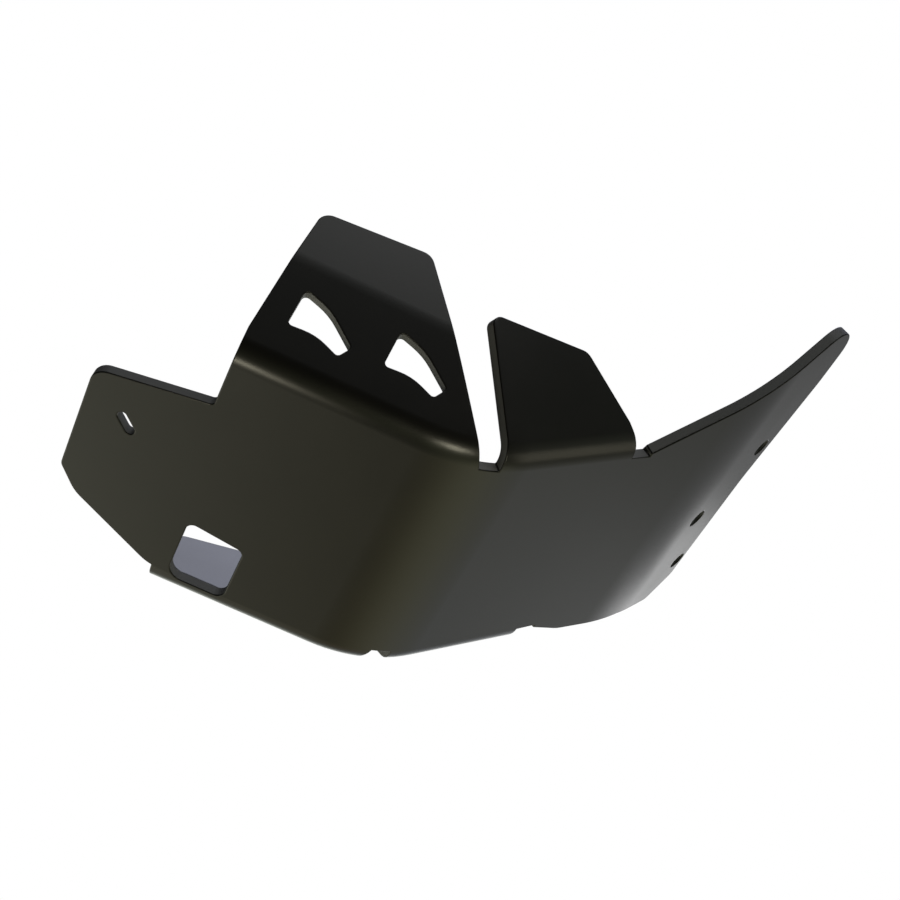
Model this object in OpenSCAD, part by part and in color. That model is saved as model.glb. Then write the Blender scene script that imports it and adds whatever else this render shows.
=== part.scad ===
// Motorcycle skid plate folded from one sheet. X points forward, Y to the left
// and Z up; the underside of the floor is at z = 0 and the bend between floor
// and front starts at x = 0. The right-hand flaps and the flared nose edge are
// on the -Y side.

// Node to draw

/* [Sheet] */
// Thickness of the sheet
sheet_t = 6; // [5:0.5:7]
// Inside radius of the side folds
fold_r = 8; // [6:0.5:10]
// Angle the side flaps stand up from the floor
fold_angle = 63.5; // [58:0.5:70]

/* [Profile] */
// Width of the flat floor between the side folds
flat_w = 132; // [126:1:142]
// Underside radius of the bend between floor and front
bend_r = 80; // [76:1:90]
// Angle of the front above the floor
front_angle = 41.2194; // [38:0.0001:44]
// Length of the flat front up to the nose bend
front_len = 119; // [112:1:128]
// Underside radius of the nose bend
nose_r = 150; // [120:5:180]
// Further angle of the nose above the front
nose_angle = 16.2602; // [12:0.0001:20]

/* [Floor] */
// Length of the floor behind the bend
floor_len = 142.5; // [134:0.5:156]
// Distance from the bend to the rear end of the large flaps
flap_back = 88; // [84:1:94]
// Half width of the tongue at its rear end, right side
tongue_right = 33; // [28:1:36]
// Half width of the tongue where it meets the right flap
tongue_root = 42; // [38:1:48]
// Half width of the tongue at its rear end, left side
tongue_left = 28; // [24:1:34]
// Distance from the bend to the centre of the rear slot
slot_back = 121; // [117:1:124]
// Offset of the rear slot to the right
slot_off = 11; // [6:1:16]
// Overall length of the rear slot
slot_len = 12.5; // [11:0.5:15]
// Width of the rear slot
slot_w = 4.5; // [4:0.5:6.5]
// Angle of the rear slot from the length of the plate
slot_angle = 47; // [30:1:60]
// Length of the drain window
drain_len = 29.5; // [26:0.5:32]
// Width of the drain window
drain_w = 36; // [32:0.5:38]
// Distance from the bend to the front edge of the drain window
drain_back = 48; // [44:1:52]

/* [Large flaps] */
// Height of the right flap along its face, at its rear top corner
flap_h = 76.5; // [72:0.5:82]
// Extra height of the right flap at its front top corner
flap_rise = 4.5; // [2:0.5:6]
// Length of the top edge of the right flap
flap_top = 53.5; // [48:0.5:58]
// Height along the face where the upper band turns in
band_h = 44; // [42:0.5:47]
// Angle the upper band turns in
band_angle = 8; // [4:1:11]
// Inside radius of the turn of the upper band
band_r = 40; // [30:5:50]
// Height of the left flap along its face, at its rear top corner
left_h = 54; // [48:1:60]
// Corner radius of the flaps
corner_r = 7; // [5:0.5:8]
// Length of a flap window
eye_len = 30; // [26:0.5:31]
// Height of a flap window
eye_h = 19.5; // [17:0.5:21]
// Height of the flap windows above the fold
eye_up = 14; // [12.5:0.5:16]
// Distance between the two flap windows
eye_pitch = 46; // [44:0.1:48]
// Rise from the rear flap window to the front one
eye_rise = 1.2; // [0:0.1:2]

/* [Small flaps] */
// Height of the small flaps at their rear corner
small_h = 62; // [56:0.5:64]
// Height of the small flaps at their front corner
small_front_h = 40.5; // [36:0.5:44]
// Distance from the front back to the rear edge of the small flaps
small_start = 12.5; // [10:0.5:14]
// Lean of the rear edge of the small flaps, over their height
small_rear_lean = 10; // [7:0.5:13]
// Lean of the front edge of the small flaps, over their height
small_lean = 16.5; // [12:0.5:22]
// Distance along the front to the front end of the small flaps
small_end = 66.5; // [62:0.5:70]

/* [Notches] */
// Position of the notch between the flaps, as an angle round the bend
notch_angle = 25.5; // [24:0.5:27]
// Width of the notch at the fold
notch_w = 10.6; // [9:0.2:11.4]
// Reach of the notches in from the side face of the fold line
notch_in = 4.5; // [2:0.5:6]
// Width of the gap between the small flaps and the nose
gap_w = 12.4; // [10:0.2:14]

/* [Nose] */
// Distance from the start of the front to the top edge of the nose
nose_len = 197; // [190:1:204]
// Rise of the top edge at the right tip
tip_rise = 10.5; // [6:0.5:14]
// Reach of the right tip from the middle of the plate
tip_right = 143.5; // [136:0.5:150]
// Reach of the left edge of the nose
tip_left = 82; // [78:0.5:88]
// Corner radius of the right tip
tip_r = 20; // [14:0.5:24]
// Distance between the two upper bolt holes
hole_pitch = 95; // [88:1:100]
// Offset of the holes to the left of the middle
hole_off = 2.5; // [0:0.5:4]
// Distance of the upper holes above the nose bend
hole_up = 29.5; // [26:0.5:30]
// Distance of the middle hole above the nose bend
mid_hole_up = 6.5; // [6:0.5:10]
// Diameter of the upper bolt holes
hole_d = 10.5; // [9:0.5:11]
// Diameter of the middle hole
mid_hole_d = 11; // [9:0.5:11.5]

/* [Hidden] */
$fn = 96;
half_w = flat_w / 2;
fold_out = fold_r + sheet_t;
fold_line = fold_out * sin(fold_angle);
// Largest turn between two points of a rounded corner
arc_step = 8;
// Longest chord of a rounded corner
chord_len = 4;
// How far cutting prisms run past the sheet
past = 10;
// How far the flap strips lie over the flat sheet
lap = 2;
notch_r = notch_w / 2;
gap_end = small_end + gap_w;
small_back = bend_r * (front_angle - notch_angle) * PI / 180 - notch_r;
front_edge_x = bend_r * notch_angle * PI / 180 - notch_r;

function unit(v) = v / norm(v);
function before(p, i) = p[(i + len(p) - 1) % len(p)];
function after(p, i) = p[(i + 1) % len(p)];
function xy(v) = [v[0], v[1]];
function to_before(p, i) = unit(xy(before(p, i)) - xy(p[i]));
function to_after(p, i) = unit(xy(after(p, i)) - xy(p[i]));
function half_angle(p, i) = acos(to_before(p, i) * to_after(p, i)) / 2;
function tangent(p, i) = p[i][2] / tan(half_angle(p, i));
function corner_start(p, i) = xy(p[i]) + to_before(p, i) * tangent(p, i);
function centre(p, i) = xy(p[i])
    + unit(to_before(p, i) + to_after(p, i)) * p[i][2] / sin(half_angle(p, i));
function turned(v, a) = [v.x * cos(a) - v.y * sin(a), v.x * sin(a) + v.y * cos(a)];
function corner_arc(p, i) =
    let (c = centre(p, i), start = corner_start(p, i) - c, bend = 180 - 2 * half_angle(p, i))
    let (way = sign(cross(to_after(p, i), to_before(p, i))))
    let (steps = ceil(max(bend / arc_step, bend * PI / 180 * p[i][2] / chord_len)))
    [for (k = [0:steps]) c + turned(start, way * bend * k / steps)];

// Closed outline from [x, y, r] corners, each rounded by its radius r
module outline(p) {
    polygon([for (i = [0:len(p) - 1]) for (e = p[i][2] > 0 ? corner_arc(p, i) : [xy(p[i])]) e]);
}

// Point up the face of the right flap: h from the end of the fold, d inward
function on_flap(h, d) = [-half_w, fold_out]
    + turned([-h, d - fold_out], -fold_angle);
function with_r(v, r) = [v.x, v.y, r];
// Where the two faces of the fold would meet without a radius
function fold_corner(d) = [-half_w - (fold_out - d) * tan(fold_angle / 2), d];

// Section of a side flap: lap on the floor, side fold and a straight leaf
module flap_section(leaf) {
    outline([
        [lap - half_w, 0, 0],
        with_r(fold_corner(0), fold_out),
        with_r(on_flap(band_h, 0), 0),
        with_r(on_flap(leaf, 0), 0),
        with_r(on_flap(leaf, sheet_t), 0),
        with_r(on_flap(band_h, sheet_t), 0),
        with_r(fold_corner(sheet_t), fold_r),
        [lap - half_w, sheet_t, 0]
    ]);
}

// Section of the right flap: its leaf turns in once more above band_h
module band_section(leaf) {
    turn_h = band_h + band_r * tan(band_angle / 2);
    up = turned([-1, 0], -fold_angle - band_angle) * leaf;
    corner = on_flap(turn_h, 0);
    thin = on_flap(turn_h - sheet_t * tan(band_angle / 2), sheet_t);
    outline([
        [lap - half_w, 0, 0],
        with_r(fold_corner(0), fold_out),
        with_r(corner, band_r + sheet_t),
        with_r(corner + up, 0),
        with_r(thin + up, 0),
        with_r(thin, band_r),
        with_r(fold_corner(sheet_t), fold_r),
        [lap - half_w, sheet_t, 0]
    ]);
}

// Sweeps a section, drawn across the plate, from x = a to x = b
module along(a, b) {
    translate([a, 0, 0]) rotate([90, 0, 90]) linear_extrude(b - a) children();
}

// Sweeps a section round a bend of underside radius r that starts at x = 0
module around(r, from, to) {
    spare = 1;
    intersection() {
        translate([0, 0, r]) rotate([90, 90, 180])
            rotate_extrude(angle = to - from + spare, start = -to - spare)
                translate([r, 0]) rotate(90) children();
        past_bend(r, to) translate([-2 * r, -2 * r, -r]) cube([2 * r, 4 * r, 2 * r]);
    }
}

// Moves from the start of a bend of radius r and angle a to its end
module past_bend(r, a) {
    translate([0, 0, r]) rotate([0, -a, 0]) translate([0, 0, -r]) children();
}

module on_front() {
    past_bend(bend_r, front_angle) children();
}

module on_nose() {
    on_front() translate([front_len, 0, 0]) past_bend(nose_r, nose_angle) children();
}

// Prism through a right-hand flap from its outline: x along the plate, y up
// the face of the flap from the end of the fold
module through_flap() {
    translate([0, -half_w, fold_out]) rotate([180 - fold_angle, 0, 0])
        translate([0, 0, -fold_out]) linear_extrude(2 * fold_out + past) children();
}

module left_side() {
    mirror([0, 1, 0]) children();
}

module large_flap(leaf) {
    intersection() {
        union() {
            along(-flap_back, 0) children();
            around(bend_r, 0, notch_angle) flap_section(band_h);
        }
        through_flap() outline(leaf);
    }
}

module small_flap() {
    foot = -fold_line - lap;
    intersection() {
        union() {
            around(bend_r, notch_angle, front_angle) flap_section(small_h);
            on_front() along(0, small_end) flap_section(small_h);
        }
        on_front() through_flap() outline([
            [-small_back, foot, 0],
            [-small_start, lap, 0],
            [-small_start + small_rear_lean, small_h, 5],
            [small_end - small_lean, small_front_h, corner_r],
            [small_end - lap, 2 * lap, 0],
            [small_end + lap / 2, foot, 0]
        ]);
    }
}

// One flap window, its lower rear corner at the origin
module eye() {
    outline([
        [0, 0, 2],
        [eye_len * 0.05, eye_h, 2.5],
        [eye_len * 0.5, eye_h * 0.78, 30],
        [eye_len, eye_h * 0.12, 2],
        [eye_len * 0.86, -eye_h * 0.22, 2],
        [eye_len * 0.45, eye_h * 0.05, 25]
    ]);
}

module right_flap() {
    difference() {
        large_flap([
            [-flap_back - lap, -fold_line - lap, 0],
            [-flap_back + past * 0.4, band_h, 0],
            [-flap_back + past * 0.8, flap_h, corner_r],
            [-flap_back + past * 0.8 + flap_top, flap_h + flap_rise, corner_r],
            [front_edge_x - lap, -fold_line / 3, 0],
            [front_edge_x + sheet_t, -fold_line - lap, 0]
        ]) band_section(flap_h + flap_rise - band_h);
        for (k = [0, 1]) through_flap()
            translate([-flap_back + past * 1.45 + k * eye_pitch, eye_up + k * eye_rise]) eye();
    }
}

module left_flap() {
    left_side() large_flap([
        [-flap_back + lap, -fold_line - lap, 0],
        [-flap_back + past * 0.8, left_h, corner_r],
        [-flap_back + past * 0.8 + flap_top, flap_h + flap_rise, corner_r],
        [front_edge_x - lap, -fold_line / 3, 0],
        [front_edge_x + sheet_t, -fold_line - lap, 0]
    ]) flap_section(flap_h + flap_rise);
}

module floor_sheet() {
    linear_extrude(sheet_t) outline([
        [-floor_len, -tongue_right, 8],
        [-flap_back, -tongue_root, 2],
        [-flap_back, -half_w, 0],
        [0, -half_w, 0],
        [0, half_w, 0],
        [-flap_back + lap, half_w, 0],
        [-flap_back - lap, half_w - lap / 2, 20],
        [-floor_len + past, tongue_left + past * 1.3, 20],
        [-floor_len, tongue_left, 5]
    ]);
}

module front_sheet() {
    around(bend_r, 0, front_angle) front_section();
    on_front() along(0, gap_end) front_section();
}

module front_section() {
    translate([-half_w, 0]) square([flat_w, sheet_t]);
}

// Side view of the front and nose, from the front's own start
module nose_profile() {
    reach = nose_r * tan(nose_angle / 2);
    bend = [front_len + reach, 0];
    up = [cos(nose_angle), sin(nose_angle)];
    end = bend + up * nose_len;
    thin = bend + [-tan(nose_angle / 2), 1] * sheet_t;
    outline([
        [small_end, 0, 0],
        with_r(bend, nose_r),
        with_r(end, 0),
        with_r(end + [-up.y, up.x] * sheet_t, 0),
        with_r(thin, nose_r - sheet_t),
        [small_end, sheet_t, 0]
    ]);
}

// Outline of the nose, seen square to the middle of its bend
module nose_plan() {
    edge = gap_end * cos(nose_angle / 2);
    outline([
        [edge, -half_w - lap, 0],
        [nose_len + tip_rise, -tip_right, tip_r],
        [nose_len + tip_rise, -tip_right * 0.62, 60],
        [nose_len, -half_w / 4, 80],
        [nose_len, half_w, corner_r],
        [nose_len - 3 * past / 2, tip_left, corner_r],
        [nose_len - 5 * past, tip_left - 6, 0],
        [edge + 2 * past, half_w + fold_r, 20],
        [edge, half_w + lap, 0]
    ]);
}

module nose_sheet() {
    intersection() {
        on_front() translate([0, tip_left, 0]) rotate([90, 0, 0])
            linear_extrude(tip_left + tip_right) nose_profile();
        past_bend(bend_r, front_angle) rotate([0, -nose_angle / 2, 0])
            translate([0, 0, -nose_len / 2]) linear_extrude(nose_len) nose_plan();
    }
}

// Cuts through the side fold at both ends of the small flaps
module side_cuts() {
    far = -half_w - 2 * fold_out;
    past_bend(bend_r, notch_angle) translate([0, 0, -past]) linear_extrude(fold_out + past) outline([
        [-notch_r, -half_w - notch_in, notch_r],
        [-notch_r, far, 0],
        [notch_r, far, 0],
        [notch_r, -half_w - notch_in, notch_r]
    ]);
    on_front() translate([0, 0, -past]) linear_extrude(2 * fold_out + past) outline([
        [small_end, -half_w, 2.5],
        [small_end, far, 0],
        [gap_end, far, 0],
        [gap_end, -half_w, 2.5]
    ]);
}

module rear_slot() {
    translate([-slot_back, -slot_off, -past]) rotate(slot_angle) linear_extrude(3 * past) outline([
        for (s = [[-1, -1], [1, -1], [1, 1], [-1, 1]])
            [s.x * slot_len / 2, s.y * slot_w / 2, slot_w / 2]
    ]);
}

module drain_window() {
    far_y = half_w + lap;
    translate([0, 0, -past]) linear_extrude(3 * past) outline([
        [-drain_back - drain_len, far_y - drain_w - lap, 4],
        [-drain_back, far_y - drain_w + lap, 4],
        [-drain_back, far_y, 5],
        [-drain_back - drain_len, far_y, 8]
    ]);
}

module nose_bore(x, y, d) {
    on_nose() translate([x, y, -past]) cylinder(d = d, h = 3 * past);
}

module skid_plate() {
    color([0.08, 0.08, 0.09]) difference() {
        union() {
            floor_sheet();
            front_sheet();
            nose_sheet();
            right_flap();
            left_flap();
            small_flap();
            left_side() small_flap();
        }
        side_cuts();
        left_side() side_cuts();
        rear_slot();
        drain_window();
        for (s = [-1, 1]) nose_bore(hole_up, hole_off + s * hole_pitch / 2, hole_d);
        nose_bore(mid_hole_up, hole_off, mid_hole_d);
    }
}

skid_plate();
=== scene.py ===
import math

import bmesh
import bpy
from mathutils import Euler, Matrix, Vector


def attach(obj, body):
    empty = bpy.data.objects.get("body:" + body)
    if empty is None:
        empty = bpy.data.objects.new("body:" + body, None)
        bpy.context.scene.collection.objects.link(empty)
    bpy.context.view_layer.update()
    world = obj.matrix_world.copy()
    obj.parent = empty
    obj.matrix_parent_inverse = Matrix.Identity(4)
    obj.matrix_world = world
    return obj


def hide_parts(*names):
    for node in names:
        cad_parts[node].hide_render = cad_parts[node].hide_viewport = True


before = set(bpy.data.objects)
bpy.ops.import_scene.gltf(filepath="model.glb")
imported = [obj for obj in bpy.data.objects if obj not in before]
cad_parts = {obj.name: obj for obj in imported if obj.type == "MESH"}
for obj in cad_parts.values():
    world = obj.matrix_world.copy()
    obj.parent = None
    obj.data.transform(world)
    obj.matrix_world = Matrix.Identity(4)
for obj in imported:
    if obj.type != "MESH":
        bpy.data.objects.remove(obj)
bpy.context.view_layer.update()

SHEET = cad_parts["skid_plate"]

# Camera, looking up from below: turn in degrees, place in metres, optics in pixels of 900
CAM_TURN = (143.5, -9.082, -24.028)
CAM_PLACE = (-0.0638, -0.474, -0.5196)
FOCAL_PX = 1506.2
CENTRE_PX = (470.16, 438.0)
FRAME_PX = 900
SENSOR_MM = 36
NEAR_CLIP = 0.01

# Arrises of the sheet, in metres and degrees: points to join, flat faces, easing
WELD = 0.0002
FLAT_ANGLE = 0.1
ARRIS_ANGLE = 30
ARRIS = 0.0006
ARRIS_STEPS = 3
ROUND = 0.5

# Skins and walls: a patch of more square metres than this is one of the two coated skins
SKIN_AREA = 0.02
COAT, CUT_WALL = 0, 1

# Grain of the finish: waves per metre, depth in metres and detail of the noise
CLOUD_WAVES = 30
PEEL_WAVES, PEEL_DEPTH = 700, 0.00001
CUT_WAVES, CUT_DEPTH = 1800, 0.00004
CLOUD_DETAIL, FINE_DETAIL = 2, 3

# Bright sides of the studio, named from the rider's seat: fall-off, way to each and colour
SIDE_FALL = 14
SOFT_SIDES = {
    "left, behind and low": ((-0.43, 0.74, -0.52), (2.5, 2.5, 2.0)),
    "left and low": ((0.34, 0.84, -0.42), (0.2, 0.13, 0.02)),
    "ahead and low": ((0.67, 0.47, -0.58), (0.78, 0.8, 0.5)),
    "left and ahead": ((0.66, 0.73, -0.17), (0.28, 0.29, 0.29)),
    "ahead": ((0.88, 0.46, 0.08), (0.26, 0.26, 0.23)),
    "left, ahead and high": ((0.48, 0.84, 0.23), (0.08, 0.1, 0.16)),
    "left": ((-0.04, 0.92, 0.39), (1.0, 1.05, 0.92)),
    "left and high": ((0.23, 0.73, 0.64), (1.3, 1.3, 1.28)),
    "overhead": ((0.18, 0.0, 0.98), (0.45, 0.48, 0.7)),
    "right and high": ((-0.11, -0.85, 0.52), (0.62, 0.64, 0.62)),
    "right and ahead": ((0.89, -0.41, 0.17), (0.28, 0.3, 0.24)),
    "below": ((0.4, -0.22, -0.89), (0.3, 0.33, 0.18)),
}

# Soft boxes: name, place, aim, long side, size in metres, brightness, colour, beam in degrees
MIDDLE = (0.03, -0.01, 0.06)
REAR_OF_FOLD = (-0.08, -0.07, 0.0)
FRONT_OF_FOLD = (0.015, -0.073, 0.003)
ALONG, ACROSS, RISING = (1, 0, 0), (0, 1, 0), (-0.29, 0, 0.45)
NEUTRAL, WARM, COOL = (1, 1, 1), (1, 0.94, 0.72), (0.94, 0.97, 1.08)
WIDE, NARROW = 180, 44
SOFT_BOXES = (
    ("rim_box_low", (0.957, 1.007, 0.658), MIDDLE, RISING, (0.35, 0.3), 1.3, NEUTRAL, WIDE),
    ("rim_box_high", (0.881, 0.886, 0.911), MIDDLE, RISING, (0.35, 0.3), 1.05, NEUTRAL, WIDE),
    ("near_box", (0.17, -1.28, 0.84), MIDDLE, ALONG, (1.2, 0.6), 0.9, NEUTRAL, WIDE),
    ("top_box", (0.03, 0.16, 1.25), MIDDLE, ALONG, (0.8, 0.8), 0.85, COOL, WIDE),
    ("front_box", (1.48, -0.31, -0.17), MIDDLE, ACROSS, (0.7, 0.5), 1.0, WARM, WIDE),
    ("rear_fold_box", (-0.12, -0.03, -0.3), REAR_OF_FOLD, ALONG, (0.07, 0.06), 19, WARM, NARROW),
    ("bend_fold_box", (0.17, -0.21, -0.28), FRONT_OF_FOLD, ALONG, (0.1, 0.06), 19, WARM, NARROW),
)

# Floor: half width, drop under the sheet, shade, own glow and where it fades into white
FLOOR_HALF, FLOOR_DROP = 6, 0.0005
FLOOR_SHADE, FLOOR_ROUGH, FLOOR_GLOW = 0.8, 0.9, 0.35
FADE_START, FADE_END = 0.3, 1.1
WHITE = (1, 1, 1, 1)


class Sock:
    """A shader socket or number that takes part in arithmetic."""

    def __init__(self, tree, value):
        self.tree, self.value = tree, value

    def math(self, operation, *others):
        made = node(self.tree, "Math", {"operation": operation})
        for slot, item in zip(made.inputs, (self, *others)):
            put(self.tree, slot, item)
        return Sock(self.tree, made.outputs[0])

    def __add__(self, other):
        return self.math("ADD", other)

    def __radd__(self, other):
        return Sock(self.tree, other).math("ADD", self)

    def __sub__(self, other):
        return self.math("SUBTRACT", other)

    def __rsub__(self, other):
        return Sock(self.tree, other).math("SUBTRACT", self)

    def __mul__(self, other):
        return self.math("MULTIPLY", other)

    def __rmul__(self, other):
        return Sock(self.tree, other).math("MULTIPLY", self)


def put(tree, slot, item):
    """Sets an input socket to a value or links it."""
    if isinstance(item, Sock):
        item = item.value
    if isinstance(item, bpy.types.NodeSocket):
        tree.links.new(item, slot)
    else:
        slot.default_value = item


def node(tree, kind, settings=None, **inputs):
    """New node of a kind, with its settings and its input values or links."""
    made = tree.nodes.new("ShaderNode" + kind)
    for key, value in (settings or {}).items():
        setattr(made, key, value)
    for key, value in inputs.items():
        put(tree, made.inputs[key.replace("_", " ")], value)
    return made


def vector(tree, operation, *items, out="Vector"):
    """Output of a Vector Math node on sockets, numbers or triples."""
    made = node(tree, "VectorMath", {"operation": operation})
    for slot, item in zip(made.inputs, items):
        put(tree, slot, item)
    return made.outputs[out]


def mixed(tree, share, first, second):
    """Mix Shader node of two shader nodes."""
    made = node(tree, "MixShader", Fac=share)
    put(tree, made.inputs[1], first.outputs[0])
    put(tree, made.inputs[2], second.outputs[0])
    return made


def finished(tree, kind, shader):
    """Output node of a material or a world, fed by a shader node."""
    put(tree, node(tree, kind).inputs["Surface"], shader.outputs[0])


def material(name):
    """New empty material and its node tree."""
    made = bpy.data.materials.new(name)
    made.use_nodes = True
    made.node_tree.nodes.clear()
    return made, made.node_tree


def make_camera():
    """Camera at the photograph's own place, turn and optics."""
    turn = Euler([math.radians(angle) for angle in CAM_TURN]).to_matrix().to_4x4()
    cam = bpy.data.cameras.new("camera")
    cam.sensor_width = SENSOR_MM
    cam.lens = FOCAL_PX * SENSOR_MM / FRAME_PX
    cam.shift_x = (FRAME_PX / 2 - CENTRE_PX[0]) / FRAME_PX
    cam.shift_y = (CENTRE_PX[1] - FRAME_PX / 2) / FRAME_PX
    cam.clip_start = NEAR_CLIP
    holder = bpy.data.objects.new("camera", cam)
    holder.matrix_world = Matrix.Translation(CAM_PLACE) @ turn
    bpy.context.scene.collection.objects.link(holder)
    bpy.context.scene.camera = holder


def soft_box(name, place, aim, along, size, bright, colour, beam):
    """Area lamp as bright, from in front, as a sheet of that brightness.

    The beam is the full width of its cone; a narrow one gathers the power, so
    the power is cut by as much.
    """
    lamp = bpy.data.lights.new(name, "AREA")
    lamp.shape = "RECTANGLE"
    lamp.size, lamp.size_y = size
    half = math.radians(beam / 2)
    lamp.spread = 2 * half
    lamp.energy = bright * math.pi * size[0] * size[1] * (1 - half / math.tan(half))
    lamp.color = colour
    holder = bpy.data.objects.new(name, lamp)
    back = (Vector(place) - Vector(aim)).normalized()
    up = back.cross(Vector(along)).normalized()
    turn = Matrix((up.cross(back), up, back)).transposed().to_4x4()
    holder.matrix_world = Matrix.Translation(place) @ turn
    holder.visible_camera = False
    bpy.context.scene.collection.objects.link(holder)


def make_floor():
    """Pale floor that holds the shadow, for eyes above it; nothing else meets it."""
    mesh = bpy.data.meshes.new("floor")
    corners = ((-1, -1), (1, -1), (1, 1), (-1, 1))
    places = [(x * FLOOR_HALF, y * FLOOR_HALF, -FLOOR_DROP) for x, y in corners]
    mesh.from_pydata(places, [], [(0, 1, 2, 3)])
    floor = bpy.data.objects.new("floor", mesh)
    bpy.context.scene.collection.objects.link(floor)
    made, tree = material("floor")
    back = node(tree, "NewGeometry").outputs["Backfacing"]
    eye = node(tree, "LightPath").outputs["Is Camera Ray"]
    clear = node(tree, "BsdfTransparent")
    grey = (FLOOR_SHADE, FLOOR_SHADE, FLOOR_SHADE, 1)
    pale = node(tree, "BsdfPrincipled", Base_Color=grey, Roughness=FLOOR_ROUGH,
                Emission_Color=WHITE, Emission_Strength=FLOOR_GLOW)
    white = node(tree, "Emission", Color=WHITE, Strength=1)
    reach = vector(tree, "LENGTH", node(tree, "TexCoord").outputs["Object"], out="Value")
    fade = node(tree, "MapRange", {"interpolation_type": "SMOOTHSTEP"}, Value=reach,
                From_Min=FADE_START, From_Max=FADE_END)
    seen = Sock(tree, eye) * (1 - Sock(tree, back))
    ground = mixed(tree, fade.outputs["Result"], pale, white)
    finished(tree, "OutputMaterial", mixed(tree, seen, clear, ground))
    mesh.materials.append(made)


def make_world():
    """White to the camera; to the sheet, soft light from the studio's bright sides."""
    world = bpy.data.worlds.new("world")
    bpy.context.scene.world = world
    world.use_nodes = True
    tree = world.node_tree
    tree.nodes.clear()
    way = vector(tree, "NORMALIZE", node(tree, "TexCoord").outputs["Generated"])
    glow = None
    for side, colour in SOFT_SIDES.values():
        near = Sock(tree, vector(tree, "DOT_PRODUCT", way, Vector(side).normalized(), out="Value"))
        fall = ((near - 1) * SIDE_FALL).math("EXPONENT")
        part = vector(tree, "MULTIPLY", colour, fall.value)
        glow = vector(tree, "ADD", glow, part) if glow else part
    seen = node(tree, "LightPath").outputs["Is Camera Ray"]
    light = node(tree, "Background", Color=glow, Strength=1)
    white = node(tree, "Background", Color=WHITE, Strength=1)
    finished(tree, "OutputWorld", mixed(tree, seen, light, white))


def grain(tree, scale, detail):
    """Noise value from 0 to 1 over the sheet, scale in waves per metre."""
    place = node(tree, "TexCoord").outputs["Object"]
    made = node(tree, "TexNoise", Vector=place, Scale=scale, Detail=detail)
    return Sock(tree, made.outputs["Fac"])


def blend(tree, share, low, high):
    """Colour between low and high by a share."""
    made = node(tree, "Mix", {"data_type": "RGBA"})
    put(tree, made.inputs["Factor"], share)
    ends = [socket for socket in made.inputs if socket.type == "RGBA"]
    for slot, colour in zip(ends, (low, high)):
        put(tree, slot, (*colour, 1))
    return next(socket for socket in made.outputs if socket.type == "RGBA")


def finish(name, low, high, rough, spread, peel, depth):
    """Coated or cut metal: cloudy colour, uneven gloss and a fine grain."""
    made, tree = material(name)
    clouds = grain(tree, CLOUD_WAVES, CLOUD_DETAIL)
    fine = grain(tree, peel, FINE_DETAIL)
    gloss = rough + spread * (clouds + fine - 1)
    bump = node(tree, "Bump", Strength=1.0, Distance=depth, Height=fine)
    colour = blend(tree, clouds, low, high)
    skin = node(tree, "BsdfPrincipled", Base_Color=colour, Roughness=gloss,
                Normal=bump.outputs["Normal"])
    finished(tree, "OutputMaterial", skin)
    return made


def coat_material():
    """Satin black coating of the two skins and of the eased arrises."""
    return finish("black_coating", low=(0.006, 0.006, 0.006), high=(0.011, 0.01, 0.009),
                  rough=0.3, spread=0.05, peel=PEEL_WAVES, depth=PEEL_DEPTH)


def wall_material():
    """Thinner, rougher black on the walls that the cutter left."""
    return finish("cut_edge", low=(0.15, 0.15, 0.155), high=(0.22, 0.22, 0.225),
                  rough=0.58, spread=0.12, peel=CUT_WAVES, depth=CUT_DEPTH)


def bend_of(edge):
    """Angle between the two faces that meet in an edge, in degrees."""
    return math.degrees(edge.calc_face_angle())


def patches(bm):
    """Groups of faces that meet in folds and curves but not in an arris."""
    waiting = set(bm.faces)
    while waiting:
        group, reached = [], [waiting.pop()]
        while reached:
            face = reached.pop()
            group.append(face)
            for edge in face.edges:
                for other in edge.link_faces:
                    if other in waiting and bend_of(edge) < ARRIS_ANGLE:
                        waiting.remove(other)
                        reached.append(other)
        yield group


def make_plate():
    """The sheet with its arrises eased, its cut walls told from its skins."""
    bm = bmesh.new()
    bm.from_mesh(SHEET.data)
    bmesh.ops.remove_doubles(bm, verts=bm.verts, dist=WELD)
    bmesh.ops.dissolve_limit(bm, angle_limit=math.radians(FLAT_ANGLE),
                             verts=bm.verts, edges=bm.edges)
    for group in patches(bm):
        skin = sum(face.calc_area() for face in group) > SKIN_AREA
        for face in group:
            face.material_index = COAT if skin else CUT_WALL
    arrises = [edge for edge in bm.edges if bend_of(edge) > ARRIS_ANGLE]
    bmesh.ops.bevel(bm, geom=arrises, offset=ARRIS, offset_type="OFFSET",
                    segments=ARRIS_STEPS, profile=ROUND, affect="EDGES", material=COAT)
    for face in bm.faces:
        face.smooth = True
    mesh = bpy.data.meshes.new("coated_sheet")
    bm.to_mesh(mesh)
    bm.free()
    for made in (coat_material(), wall_material()):
        mesh.materials.append(made)
    plate = bpy.data.objects.new("coated_sheet", mesh)
    bpy.context.scene.collection.objects.link(plate)
    normals = plate.modifiers.new("normals", "WEIGHTED_NORMAL")
    normals.keep_sharp = True
    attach(plate, "root")
    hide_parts("skid_plate")


make_camera()
make_world()
make_floor()
for box in SOFT_BOXES:
    soft_box(*box)
make_plate()
bpy.context.scene.view_settings.view_transform = "Standard"
